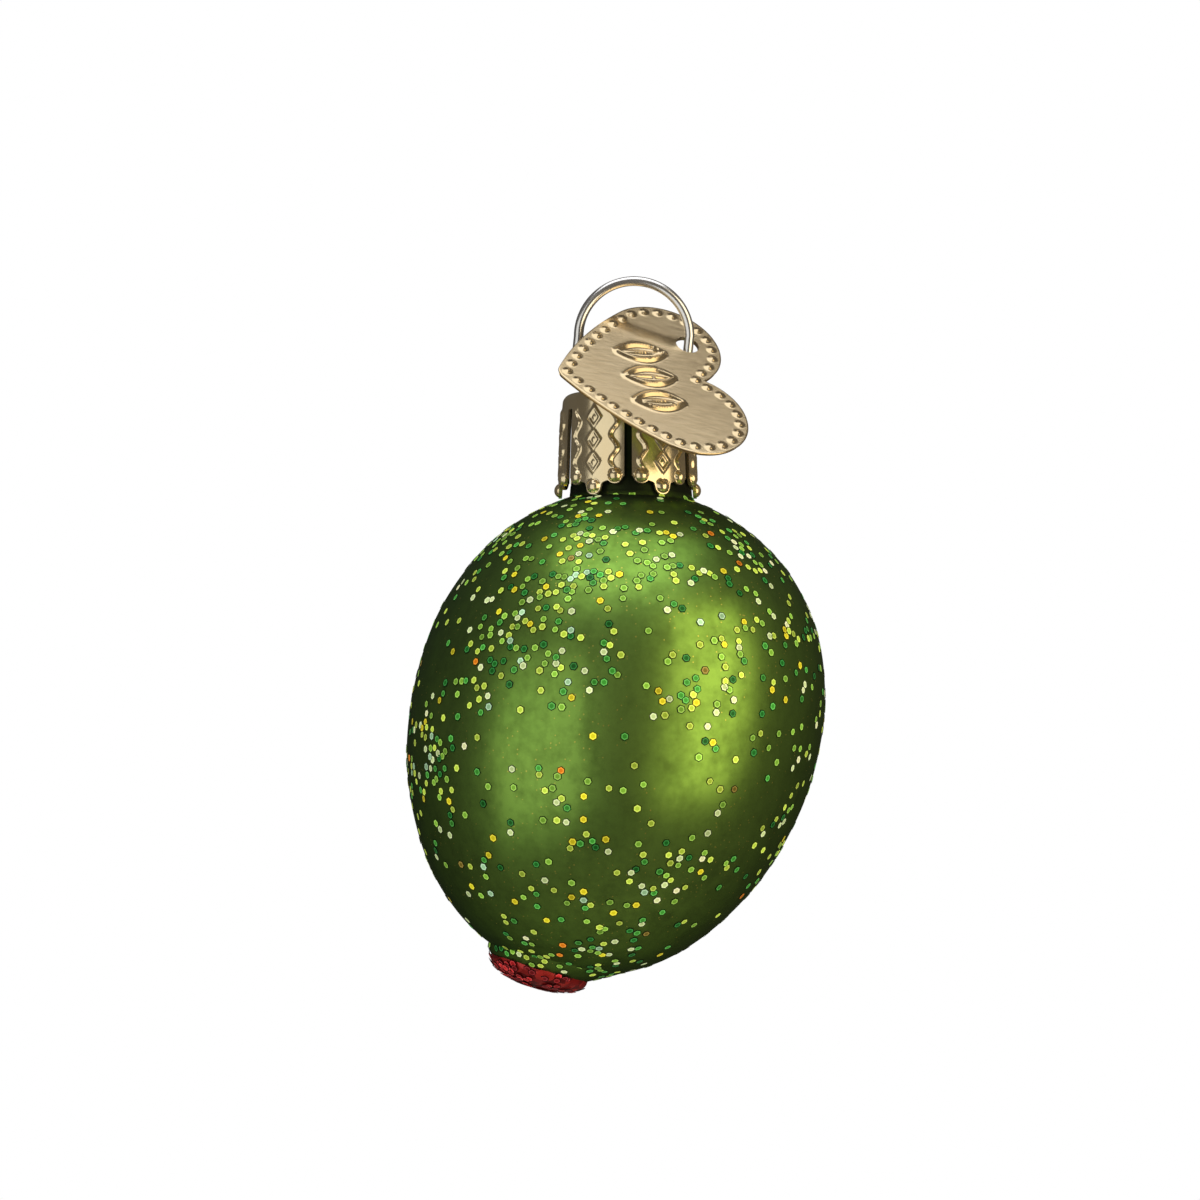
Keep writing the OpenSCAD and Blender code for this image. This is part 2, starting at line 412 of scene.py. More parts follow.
tagLook = dict(deep=(0.66, 0.52, 0.31, 1), pale=(0.84, 0.70, 0.47, 1), stain=(0.62, 0.46, 0.24, 1),
               stainShare=0.5, lineScale=(60.0, 2600.0, 2600.0), cloudScale=130.0, rough=(0.13, 0.12),
               relief=(0.10, 0.03 * mm))


def tagFinish(turn):
    look = tagLook
    shade = Shade("rolledBrassSheet")
    where = shade.objectPlace()
    lines = shade.noise(shade.stretched(where, turn, look["lineScale"]), 1.0, detail=2.0, rough=0.6)
    cloud = shade.noise(where, look["cloudScale"])
    tone = shade.mix(lines, look["deep"], look["pale"])
    stained = shade.mix(cloud * look["stainShare"], tone, look["stain"])
    least, span = look["rough"]
    shade.surface(Base_Color=stained, Metallic=0.88, Roughness=lines * span + least,
                  Normal=shade.bump(lines, *look["relief"]))
    return shade


oliveLook = dict(
    deep=(0.320, 0.590, 0.120, 1), pale=(0.410, 0.640, 0.140, 1), cloudScale=75.0,
    worn=(0.217, 0.368, 0.074, 1), mottleScale=420.0, streakScale=(420.0, 420.0, 70.0), fineScale=1200.0,
    mottleShare=0.40, streakShare=0.35, fineShare=0.25, wornFrom=0.43, wornGain=5.0,
    dust=(0.56, 0.56, 0.10, 1), dustScale=2400.0, dustSize=0.17, dustPick=0.64,
    patchScale=160.0, dustPatch=0.46,
    # neck: painted shade, a near-black green on the neck above a set height, where it lies in the cap's
    # shadow
    neck=(0.020, 0.030, 0.010, 1), neckShadeLevel=-20.5 * mm, neckShadeGain=800.0,
    rough=(0.33, 0.06), relief=(0.10, 0.10 * mm),
)


def oliveFinish():
    look = oliveLook
    shade = Shade("greenSatinLacquer")
    where = shade.objectPlace()
    tone = shade.mix(shade.noise(where, look["cloudScale"]), look["deep"], look["pale"])
    # thin, worn lacquer in patches and streaks along the olive
    mottle = shade.noise(where, look["mottleScale"], detail=4.0, rough=0.6)
    streaks = shade.stretched(where, (0, math.radians(oliveSpec["lean"]), 0), look["streakScale"])
    streaked = shade.noise(streaks, 1.0)
    fine = shade.noise(where, look["fineScale"], rough=0.6)
    smear = mottle * look["mottleShare"] + streaked * look["streakShare"] + fine * look["fineShare"]
    smear = shade.limit((smear - look["wornFrom"]) * look["wornGain"])
    worn = shade.mix(smear, tone, look["worn"])
    # gold dust between the flakes
    specks = shade.cells(where, look["dustScale"], "Distance") < look["dustSize"]
    pick = shade.redOf(shade.cells(where, look["dustScale"], "Color")) > look["dustPick"]
    dust = specks * pick * (shade.noise(where, look["patchScale"], detail=2.0) > look["dustPatch"])
    dusted = shade.mix(dust, worn, look["dust"])
    # painted shade: the neck above a set height is turned near-black, as the cap shades it
    level = shade.node("ShaderNodeSeparateXYZ", {}, {0: where}, 2)
    neckShadeMask = shade.limit((level - look["neckShadeLevel"]) * look["neckShadeGain"])
    least, span = look["rough"]
    shade.surface(Base_Color=shade.mix(neckShadeMask, dusted, look["neck"]), Metallic=0.92,
                  Roughness=smear * span + least, Coat_Weight=1.0 - dust, Coat_Roughness=0.4, Coat_IOR=1.02,
                  Coat_Tint=(0.70, 0.76, 0.60, 1), Specular_Tint=(0.25, 0.32, 0.22, 1), Sheen_Weight=0.03,
                  Sheen_Roughness=1.0, Sheen_Tint=(0.90, 1.0, 0.85, 1),
                  Normal=shade.bump(mottle, *look["relief"]))
    return shade


pimentoLook = dict(
    stops=[(0.25, (0.12, 0.005, 0.005, 1)), (0.5, (0.42, 0.016, 0.016, 1)), (0.75, (0.75, 0.045, 0.04, 1))],
    cellScale=1100.0, cellShare=0.6, patchScale=420.0, patchShare=0.4,
    rough=(0.20, 0.25), relief=(0.5, 0.15 * mm),
)


def pimentoFinish():
    look = pimentoLook
    shade = Shade("redPimentoCoat")
    where = shade.objectPlace()
    pick = shade.redOf(shade.cells(where, look["cellScale"], "Color"))
    patch = shade.noise(where, look["patchScale"], detail=4.0)
    tone = shade.ramp(pick * look["cellShare"] + patch * look["patchShare"], look["stops"])
    least, span = look["rough"]
    shade.surface(Base_Color=tone, Metallic=0.35, Roughness=patch * span + least,
                  Normal=shade.bump(pick, *look["relief"]))
    return shade


flakeLook = dict(patchScale=1800.0, rough=(0.20, 0.15))


def flakeFinish(name):
    shade = Shade(name)
    tint = shade.node("ShaderNodeAttribute", {"attribute_name": "flakeTint"}, {}, "Color")
    patch = shade.noise(shade.objectPlace(), flakeLook["patchScale"], detail=2.0)
    least, span = flakeLook["rough"]
    # the flakes glow faintly in their own tint: painted glints, bright even where no lamp catches them
    shade.surface(Base_Color=tint, Metallic=0.30, Roughness=patch * span + least, Specular_IOR_Level=0.2,
                  Emission_Color=tint, Emission_Strength=0.60)
    return shade


liningLook = dict(dull=(0.72, 0.73, 0.75, 1), bright=(0.84, 0.85, 0.86, 1), cloudScale=200.0,
                  rough=(0.05, 0.1))


def liningFinish():
    look = liningLook
    shade = Shade("silveredInside")
    cloud = shade.noise(shade.objectPlace(), look["cloudScale"])
    least, span = look["rough"]
    shade.surface(Base_Color=shade.mix(cloud, look["dull"], look["bright"]), Metallic=1.0,
                  Roughness=cloud * span + least)
    return shade


# hanger wire: loop, straight sides, steps and legs, as one bent wire

wireSpec = dict(
    radius=0.45, sides=24, eyeRadius=4.65, sideLength=2.35, legX=3.95, bendRadius=1.4,
    legGap=0.8, legLength=12.8,
    legShift=-0.2, loopShift=0.3,               # the loop stands a little to the right of the legs
    loopSteps=30, bendSteps=10, legSteps=6, leastStep=0.01,
)


def wireLevels():
    spec = wireSpec
    loopRadius = spec["eyeRadius"] + spec["radius"]
    bend = math.acos(1 - (loopRadius - spec["legX"]) / (2 * spec["bendRadius"]))
    sideEnd = -spec["eyeRadius"] - spec["sideLength"]
    legTop = sideEnd - 2 * spec["bendRadius"] * math.sin(bend)
    capTop = legTop - spec["legGap"]
    return loopRadius, bend, sideEnd, legTop, capTop


def arcPoints(centre, radius, start, end, steps):
    turns = [start + (end - start) * i / steps for i in range(steps + 1)]
    return [Vector((centre[0] + radius * math.cos(a), 0, centre[1] + radius * math.sin(a))) for a in turns]


def wirePath():
    spec = wireSpec
    loopRadius, bend, sideEnd, legTop, capTop = wireLevels()
    bendRadius, bendSteps, legSteps = spec["bendRadius"], spec["bendSteps"], spec["legSteps"]
    right = arcPoints((0, -spec["eyeRadius"]), loopRadius, math.pi / 2, 0, spec["loopSteps"])
    right += arcPoints((loopRadius - bendRadius, sideEnd), bendRadius, 0, -bend, bendSteps)
    right += arcPoints((spec["legX"] + bendRadius, legTop), bendRadius, math.pi - bend, math.pi, bendSteps)
    legEnd = capTop - spec["legLength"]
    right += [Vector((spec["legX"], 0, legTop + (legEnd - legTop) * k / legSteps))
              for k in range(1, legSteps + 1)]
    left = [Vector((-p.x, 0, p.z)) for p in right]
    path = [p * mm for p in reversed(left)] + [p * mm for p in right]
    for point in path:
        rise = between(0.0, (point.z / mm - legTop) / (-spec["eyeRadius"] - legTop), 1.0)
        point.x += (spec["legShift"] + (spec["loopShift"] - spec["legShift"]) * rise) * mm
    return [p for i, p in enumerate(path) if i == 0 or (p - path[i - 1]).length > spec["leastStep"] * mm]


def buildHangerWire():
    spec = wireSpec
    path = wirePath()
    across = Vector((0, 1, 0))
    rings = []
    for i, point in enumerate(path):
        along = (path[min(i + 1, len(path) - 1)] - path[max(i - 1, 0)]).normalized()
        outward = across.cross(along)
        ring = []
        for k in range(spec["sides"]):
            turn = fullTurn * k / spec["sides"]
            ring.append(point + spec["radius"] * mm * (math.cos(turn) * outward + math.sin(turn) * across))
        rings.append(ring)
    wire = pullRings("hangerWire", rings)
    faceOutwards(wire)
    shadeSmooth(wire, degrees=50)
    finishPiece(wire, wireFinish(), "hanger", "hanger_wire")


# crown cap: one sheet, slit into six petals, folded down and stamped

capSpec = dict(
    radius=6.15, sheet=0.3, fold=0.9, foldSteps=8, lean=0.15, flare=0.2, bendDrop=3.2, shift=-0.3,
    topRings=(0.5, 1.5, 2.5, 3.5, 4.3), topReach=0.6, slitTop=1.6, slitRows=3,
    petals=6, petalHalf=26.8, petalColumns=70, petalRows=80, gapColumns=3,
    tipBelowTop=9.58, lobeRadius=0.74, lobeDrop=0.95, lobeTurn=18.8,
    scallopLow=0.45, scallopArch=0.35, cornerLow=0.1,
    beadRadius=0.63, beadHeight=0.42, beadRound=1.3,
    holeRadius=0.6, holeSides=40, holeDepth=3, weld=0.001,
)
# wavy ridges along both sides of a petal, and plain lozenges down its middle
ridgeSpec = dict(away=1.92, sway=0.30, period=2.4, height=0.22, width=0.15, start=1.5, fadeIn=0.5,
                 endGap=0.55, fadeOut=0.4)
lozengeSpec = dict(count=3, top=2.55, pitch=2.05, halfWide=0.62, halfHigh=0.86, rim=0.15, rimWidth=0.28,
                   middle=0.10, middleWidth=0.42)


def capProfile(capTop):
    spec = capSpec
    fold, steps = spec["fold"], spec["foldSteps"]
    foldRadius = spec["radius"] - spec["lean"] - fold
    rows = [(radius, capTop) for radius in spec["topRings"] + (foldRadius,)]
    for i in range(1, steps + 1):
        turn = math.radians(90 - i * 90 / steps)
        rows.append((foldRadius + fold * math.cos(turn), capTop - fold + fold * math.sin(turn)))
    return rows


def skirtRadius(drop):
    spec = capSpec
    bend = spec["bendDrop"]
    if drop < bend:
        part = (drop - spec["fold"]) / (bend - spec["fold"])
        return spec["radius"] - spec["lean"] * (1 - part)
    return spec["radius"] + spec["flare"] * (drop - bend) / (spec["tipBelowTop"] - bend)


# the three lobes of a petal: place across it and drop below the cap's top
def petalLobes():
    spec = capSpec
    side = spec["radius"] * math.radians(spec["lobeTurn"])
    middle = spec["tipBelowTop"] - spec["lobeRadius"]
    return (0, middle), (-side, middle - spec["lobeDrop"]), (side, middle - spec["lobeDrop"])


def petalBottom(across):
    spec = capSpec
    lobes = petalLobes()
    middle, (side, sideLow) = lobes[0][1], lobes[2]
    slant = min(1.0, abs(across) / side)
    arch = spec["scallopArch"] * math.sin(math.pi * slant)
    best = middle - spec["lobeDrop"] * slant + spec["scallopLow"] - arch
    if abs(across) > side:
        best = sideLow + spec["cornerLow"]
    for shift, low in lobes:
        away = abs(across - shift)
        if away < spec["lobeRadius"]:
            best = max(best, low + math.sqrt(spec["lobeRadius"] ** 2 - away ** 2))
    return best


def beadRise(distance):
    part = distance / capSpec["beadRadius"]
    if part >= 1:
        return 0.0
    return capSpec["beadHeight"] * math.sqrt(1 - part ** 2) ** capSpec["beadRound"]


def stampHeight(across, drop):
    lobes = petalLobes()
    height = max(beadRise(math.hypot(across - shift, drop - low)) for shift, low in lobes)
    ridge = ridgeSpec
    ridgeEnd = lobes[2][1] - ridge["endGap"]
    fade = (between(0.0, (drop - ridge["start"]) / ridge["fadeIn"], 1.0)
            * between(0.0, (ridgeEnd - drop) / ridge["fadeOut"], 1.0))
    if fade > 0:
        sway = ridge["sway"] * math.sin(fullTurn * drop / ridge["period"])
        for sign in (-1, 1):
            away = across - sign * ridge["away"] - sway
            height = max(height, fade * ridge["height"] * bump(away, ridge["width"]))
    lozenge = lozengeSpec
    for k in range(lozenge["count"]):
        centre = lozenge["top"] + lozenge["pitch"] * k
        size = abs(across) / lozenge["halfWide"] + abs(drop - centre) / lozenge["halfHigh"]
        height = max(height, lozenge["rim"] * bump(size - 1, lozenge["rimWidth"]),
                     lozenge["middle"] * bump(size, lozenge["middleWidth"]))
    return height


# each column of the sheet: its turn round the cap, its turn from the petal's middle, if it is on a petal
def capColumns():
    spec = capSpec
    columns = []
    step = fullTurn / spec["petals"]
    half = math.radians(spec["petalHalf"])
    for petal in range(spec["petals"]):
        for k in range(spec["petalColumns"] + 1):
            turn = -half + 2 * half * k / spec["petalColumns"]
            columns.append((petal * step + turn, turn, True))
        for k in range(1, spec["gapColumns"]):
            turn = half + (step - 2 * half) * k / spec["gapColumns"]
            columns.append((petal * step + turn, 0.0, False))
    return columns


def buildCrownCap():
    spec = capSpec
    capTop = wireLevels()[4]
    top = capProfile(capTop)
    columns = capColumns()
    slitRow = len(top) + spec["slitRows"]
    deselectAll()
    rowCount = slitRow + spec["petalRows"]
    bpy.ops.mesh.primitive_grid_add(x_subdivisions=len(columns), y_subdivisions=rowCount - 1, size=1)
    cap = takeActive("crownCap")
    wide = len(columns) + 1
    for vertex in cap.data.vertices:
        row, column = divmod(vertex.index, wide)
        turn, local, onPetal = columns[column % len(columns)]
        across = spec["radius"] * local
        if row < len(top):
            radius, height = top[row]
        else:
            if row < slitRow:
                part = (row - len(top) + 1) / spec["slitRows"]
                drop = spec["fold"] + (spec["slitTop"] - spec["fold"]) * part
            else:
                part = (row - slitRow + 1) / spec["petalRows"]
                bottom = petalBottom(across) if onPetal else spec["tipBelowTop"]
                drop = spec["slitTop"] + (bottom - spec["slitTop"]) * part
            radius = skirtRadius(drop)
            if onPetal:
                radius += stampHeight(across, drop)
            height = capTop - drop
        vertex.co = Vector((radius * math.cos(turn), radius * math.sin(turn), height)) * mm

    # the slits between the petals are cut away
    mesh = openMesh(cap)
    bpy.ops.mesh.select_all(action="DESELECT")
    for face in mesh.faces:
        rows = [v.index // wide for v in face.verts]
        spots = [v.index % wide for v in face.verts]
        inGap = any(not columns[c % len(columns)][2] for c in spots)
        face.select_set(inGap and min(rows) >= slitRow - 1)
    bmesh.update_edit_mesh(cap.data)
    bpy.ops.mesh.delete(type="FACE")
    bpy.ops.mesh.select_all(action="SELECT")
    bpy.ops.mesh.remove_doubles(threshold=spec["weld"] * mm)
    fillMiddle(cap, bmesh.from_edit_mesh(cap.data), Vector((0, 0)), spec["topReach"] * mm)
    topFace = max(cap.data.polygons, key=lambda f: f.center.z)
    if topFace.normal.z < 0:
        flipFaces(cap)
    addModifier(cap, "SOLIDIFY", thickness=spec["sheet"] * mm, offset=-1.0, use_even_offset=False)
    place(cap, Matrix.Translation((spec["shift"] * mm, 0, 0)))
    for side in (-1, 1):
        deselectAll()
        hole = Vector((side * wireSpec["legX"] + spec["shift"], 0, capTop)) * mm
        bpy.ops.mesh.primitive_cylinder_add(vertices=spec["holeSides"], radius=spec["holeRadius"] * mm,
                                            depth=spec["holeDepth"] * mm, location=hole)
        cutWith(cap, takeActive("legHole"), "DIFFERENCE")
    shadeSmooth(cap, degrees=40)
    finishPiece(cap, capFinish(), "cap", "crown_cap")


# olive: blown egg with a neck, a raised collar and an end nub

oliveSpec = dict(
    halfLength=22.5, halfWidth=18.7, fullness=2.06, egg=0.06, lean=16.6, shift=1.7, wall=0.75,
    segments=160, rings=120, hollowSegments=96, hollowRings=64, searchStep=0.1, searchCount=600,
)
# radius and height of the neck's flared root, measured from the top of the olive's body
neckSpec = dict(
    radius=5.4, boreRadius=4.7, length=8.2, rimGap=0.25, sides=96,
    joinHeight=1.3, rimHeight=0.15, rimInset=0.12,
    root=((5.0, -3.0), (5.95, -1.2), (5.66, -0.8), (5.60, -0.3), (5.56, 0.2), (5.44, 0.8)),
    boreDepth=3.5, boreSpare=2,
)
# the collar steps out on one side and runs smoothly into the body on the other
collarSpec = dict(
    end=22.35, radius=4.7, shift=-0.3, stepRadius=5.35, taperRadius=7.3, blend=1.5, fall=1.35, ease=0.35,
    lipStart=0.88, lipTuck=0.25, sides=120, searchFrom=10.0, searchSteps=40,
    shares=(-0.3, 0.0, 0.15, 0.3, 0.45, 0.6, 0.75, 0.88, 0.96, 1.0),
    nubRadius=4.2, nubHeight=1.5, nubTurn=84, nubSteps=8,
)
dentSpec = dict(depth=0.10, scale=0.085, fineScale=0.19, fineShare=0.5, fineShift=(7, 3, 1))


def oliveRadius(u, inset):
    spec = oliveSpec
    length = spec["halfLength"] - inset
    part = max(0.0, 1 - abs(u / length) ** spec["fullness"])
    return (spec["halfWidth"] - inset) * (1 - spec["egg"] * u / length) * part ** (1 / spec["fullness"])


def neckRim():
    return wireLevels()[4] - capSpec["sheet"] - neckSpec["rimGap"]


# place and lean of the olive's own axis, and the height of its body's top
def oliveFrame():
    spec = oliveSpec
    lean = math.radians(spec["lean"])
    domeTop = neckRim() - neckSpec["length"]
    levels = [-spec["halfLength"] * math.cos(math.radians(i * spec["searchStep"]))
              for i in range(1, spec["searchCount"])]
    rise = max(oliveRadius(u, 0) * math.sin(lean) - u * math.cos(lean) for u in levels)
    centre = Vector((-spec["shift"], 0, domeTop - rise)) * mm
    return Matrix.Translation(centre) @ Matrix.Rotation(lean, 4, "Y"), domeTop


def oliveSpot(turn, u, inset=0.0):
    radius = oliveRadius(u, inset)
    return Vector((radius * math.cos(turn), radius * math.sin(turn), -u))


def dentAt(spot):
    spec = dentSpec
    fine = noise.noise(spot * spec["fineScale"] + Vector(spec["fineShift"]))
    return spec["depth"] * (noise.noise(spot * spec["scale"]) + spec["fineShare"] * fine)


def eggBall(name, inset, segments, rings, dented):
    deselectAll()
    bpy.ops.mesh.primitive_uv_sphere_add(segments=segments, ring_count=rings, radius=1)
    ball = takeActive(name)
    length = oliveSpec["halfLength"] - inset
    for vertex in ball.data.vertices:
        x, y, z = vertex.co
        spot = oliveSpot(math.atan2(y, x), -length * between(-1.0, z, 1.0), inset)
        if dented:
            spot += spot.normalized() * dentAt(spot)
        vertex.co = spot * mm
    return ball


# level along the olive's axis where its body has this radius, at the collar's end
def levelWhere(radius):
    low, high = collarSpec["searchFrom"], oliveSpec["halfLength"]
    for i in range(collarSpec["searchSteps"]):
        middle = (low + high) / 2
        if oliveRadius(middle, 0) > radius:
            low = middle
        else:
            high = middle
    return low


def collarSpot(turn, share):
    spec = collarSpec
    smooth = (0.5 + 0.5 * math.cos(turn)) ** spec["blend"]
    start = spec["stepRadius"] + (spec["taperRadius"] - spec["stepRadius"]) * smooth
    level = levelWhere(start)
    part = max(0.0, share)
    fall = part ** (spec["fall"] - spec["ease"] * smooth)
    tuck = spec["lipTuck"] * max(0.0, part - spec["lipStart"])
    radius = start + (spec["radius"] - start) * fall - tuck
    height = level + (spec["end"] - level) * part + min(0.0, share)
    return Vector((radius * math.cos(turn) + spec["shift"] * part, radius * math.sin(turn), -height))


def collarAndNub():
    spec = collarSpec
    sides = spec["sides"]
    rings = []
    for share in spec["shares"]:
        rings.append([collarSpot(fullTurn * k / sides, share) * mm for k in range(sides)])
    for i in range(1, spec["nubSteps"] + 1):
        tilt = math.radians(i * spec["nubTurn"] / spec["nubSteps"])
        level = -spec["end"] - spec["nubHeight"] * math.sin(tilt)
        rings.append(levelRing(spec["nubRadius"] * math.cos(tilt), level, sides, spec["shift"]))
    nub = pullRings("nub", rings)
    faceOutwards(nub)
    return nub


def buildOlive():
    spec = oliveSpec
    neck = neckSpec
    matrix, domeTop = oliveFrame()
    rim = neckRim()
    olive = eggBall("oliveGlass", 0.0, spec["segments"], spec["rings"], True)
    cutWith(olive, collarAndNub(), "UNION")
    place(olive, matrix)
    profile = [(radius, domeTop + height) for radius, height in neck["root"]]
    profile += [(neck["radius"], domeTop + neck["joinHeight"]), (neck["radius"], rim - neck["rimHeight"]),
                (neck["radius"] - neck["rimInset"], rim)]
    cutWith(olive, lathe("neck", profile, neck["sides"]), "UNION")
    hollow = eggBall("hollow", spec["wall"], spec["hollowSegments"], spec["hollowRings"], False)
    place(hollow, matrix)
    cutWith(olive, hollow, "DIFFERENCE")
    bore = [(neck["boreRadius"], domeTop - neck["boreDepth"]), (neck["boreRadius"], rim + neck["boreSpare"])]
    cutWith(olive, lathe("bore", bore, neck["sides"]), "DIFFERENCE")
    shadeSmooth(olive, degrees=35)
    finishPiece(olive, oliveFinish(), "olive", "olive_shell")


# pimento: lumpy red end over the nub

pimentoSpec = dict(
    radius=4.62, height=1.9, roundness=0.92, reach=0.985, sides=96, rings=22,
    lump=0.13, lumpOut=0.12, lumpDown=0.8,
    lumps=((0.55, 1.0), (1.3, 0.6), (2.9, 0.3)),      # scale and share of each size of lump
)


def pimentoSpot(turn, part):
    spec = pimentoSpec
    tilt = part * math.pi / 2
    radius = spec["radius"] * max(0.0, math.cos(tilt)) ** spec["roundness"]
    drop = spec["height"] * math.sin(tilt) ** spec["roundness"]
    return Vector((radius * math.cos(turn) + collarSpec["shift"], radius * math.sin(turn),
                   -collarSpec["end"] - drop))


def buildPimento():
    spec = pimentoSpec
    sides = spec["sides"]
    rings = []
    for i in range(spec["rings"] + 1):
        ring = []
        for k in range(sides):
            spot = pimentoSpot(fullTurn * k / sides, i / spec["rings"] * spec["reach"])
            swell = sum(share * noise.noise(spot * scale) for scale, share in spec["lumps"])
            push = Vector((spot.x * spec["lumpOut"], spot.y * spec["lumpOut"], -spec["lumpDown"]))
            spot += push * spec["lump"] * swell
            ring.append(spot * mm)
        rings.append(ring)
    pimento = pullRings("pimento", rings)
    faceOutwards(pimento)
    place(pimento, oliveFrame()[0])
    shadeSmooth(pimento, degrees=60)
    finishPiece(pimento, pimentoFinish(), "olive", "pimento_coat")


# glitter: six-sided flakes strewn over the lacquer

flakeSpec = dict(
    across=0.82, thick=0.03, above=0.01, sizes=(0.92, 1.06), wobble=0.05, gap=0.52, seed=41,
    # the dark edge is a painted shadow round each flake, the bright rim a painted glint
    edge=0.07, rim=0.10,                                # widths of the dark edge and the bright rim
    shadowEdgeShare=0.05, glintRimShare=1.0, middleShare=0.70, glintRimPower=0.75, rimReach=0.27, middleReach=0.1,
    leastTone=0.55, toneSpan=0.75,
)
flakeTints = [
    (0.25, (0.58, 0.80, 0.07)), (0.24, (0.26, 0.56, 0.05)), (0.14, (0.76, 0.94, 0.40)),
    (0.08, (0.86, 0.72, 0.02)), (0.17, (0.06, 0.37, 0.04)), (0.08, (0.015, 0.16, 0.02)),
    (0.03, (0.46, 0.80, 0.44)), (0.014, (0.22, 0.15, 0.02)), (0.012, (0.85, 0.22, 0.01)),
]
redTints = [(0.4, (0.40, 0.014, 0.016)), (0.35, (0.75, 0.030, 0.030)), (0.25, (0.16, 0.008, 0.010))]


def pickTint(rng, tints):
    draw = rng.random() * sum(weight for weight, colour in tints)
    for weight, colour in tints:
        draw -= weight
        if draw <= 0:
            break
    lift = flakeSpec["leastTone"] + flakeSpec["toneSpan"] * rng.random()
    return tuple(min(1.0, c * lift) for c in colour)


# one flake: its corners, its faces and the share of the tint that each face shows; the dark edge and sides
# are a painted shadow, the bright rim a painted glint, and the middle is left darker than the rim
def flakeShape():
    spec = flakeSpec
    deselectAll()
    bpy.ops.mesh.primitive_circle_add(vertices=6, radius=spec["across"] / 2, fill_type="NGON")
    flake = takeActive("flakeModel")
    openMesh(flake)
    bpy.ops.mesh.select_all(action="SELECT")
    bpy.ops.mesh.extrude_region_move(TRANSFORM_OT_translate={"value": (0, 0, spec["thick"])})
    bpy.ops.mesh.inset(thickness=spec["edge"])
    bpy.ops.mesh.inset(thickness=spec["rim"])
    bpy.ops.mesh.select_all(action="SELECT")
    bpy.ops.mesh.normals_make_consistent(inside=False)
    closeMesh(flake)
    corners = [v.co.copy() for v in flake.data.vertices]
    faces, shares = [], []
    for face in flake.data.polygons:
        away = face.center.xy.length
        share = spec["shadowEdgeShare"]
        if face.center.z > spec["thick"] * 0.9:         # the upper side
            if away < spec["middleReach"]:
                share = spec["middleShare"]
            elif away < spec["rimReach"]:
                share = spec["glintRimShare"]
        faces.append(list(face.vertices))
        shares.append(share)
    bpy.data.objects.remove(flake)
    return corners, faces, shares


def strewFlakes(name, spots, tints, shade, rng):
    spec = flakeSpec
    corners, faces, shares = flakeShape()
    points, polygons, tintsWithPaintedLight = [], [], []
    for spot, normal in spots:
        side = normal.orthogonal().normalized()
        sway = Vector((rng.uniform(-1, 1), rng.uniform(-1, 1), rng.uniform(-1, 1))) * spec["wobble"]
        up = (normal + sway).normalized()
        side = (side - up * side.dot(up)).normalized()
        east = Matrix.Rotation(rng.random() * math.pi, 3, up) @ side
        north = up.cross(east)
        size = rng.uniform(*spec["sizes"])
        base = len(points)
        tint = pickTint(rng, tints)
        for c in corners:
            points.append((spot + (east * c.x + north * c.y) * size + up * (c.z + spec["above"])) * mm)
        for face, share in zip(faces, shares):
            polygons.append([base + c for c in face])
            # the bright rim's tint is raised as a painted glint; the dark edge share is a painted shadow
            power = spec["glintRimPower"] if share == spec["glintRimShare"] else 1.0
            tintsWithPaintedLight.append(tuple(share * c ** power for c in tint) + (1.0,))
    deselectAll()
    bpy.ops.mesh.primitive_circle_add(vertices=6, radius=spec["across"] * mm)
    piece = takeActive(name)
    piece.data.clear_geometry()
    piece.data.from_pydata(points, [], polygons)
    piece.data.update()
    layer = piece.data.attributes.new("flakeTint", "FLOAT_COLOR", "CORNER")
    for polygon, tone in zip(piece.data.polygons, tintsWithPaintedLight):
        for corner in polygon.loop_indices:
            layer.data[corner].color = tone
    finishPiece(piece, shade, "olive")


def surfaceNormal(turn, u):
    step = 0.05
    here = oliveSpot(turn, u)
    aside = oliveSpot(turn + step / 10, u) - here
    onward = oliveSpot(turn, u + step) - here
    normal = onward.cross(aside).normalized()
    return normal if normal.dot(Vector((here.x, here.y, 0))) > 0 else -normal


# crowds of flakes on the front: middle of each crowd, its reach in millimetres and how thick it lies
flakeCrowds = [
    (-3.8, -26.7, 4.2, 1.00), (-6.5, -29.9, 3.8, 1.00), (2.7, -25.3, 3.2, 0.80), (-12.0, -32.6, 4.4, 0.80),
    (-14.8, -37.2, 4.0, 0.50), (-5.6, -36.6, 3.2, 0.66), (9.5, -25.3, 3.8, 0.48), (14.6, -32.6, 3.0, 0.42),
    (6.3, -32.6, 2.6, 0.28), (-6.5, -46.2, 3.0, 0.38), (0.8, -53.7, 2.6, 0.34), (-8.3, -56.5, 3.4, 0.40),
    (6.3, -53.7, 2.4, 0.34), (-18.4, -43.6, 4.2, 0.50), (-9.3, -62.0, 3.0, 0.34), (-2.8, -62.4, 2.6, 0.40),
    (15.5, -40.0, 3.2, 0.30), (4.5, -21.8, 3.0, 0.50), (-6.5, -21.8, 3.4, 0.55), (-10.5, -26.0, 3.6, 0.75),
    (13.2, -50.0, 3.0, 0.26), (4.0, -38.4, 2.2, 0.42), (-15.5, -51.5, 3.4, 0.34), (-1.5, -43.0, 2.4, 0.32),
    (-11.0, -47.2, 2.6, 0.28), (9.3, -33.2, 2.4, 0.30), (-4.0, -51.0, 2.6, 0.26),
]
densitySpec = dict(
    clumpScale=0.30, fineScale=0.75, fineShare=0.6, clumpGain=1.5, clumpLeast=0.15, clumpMost=1.8,
    frontLeast=0.045, backLeast=0.22, backRise=0.35, backFrom=-36, backSpan=8,
)


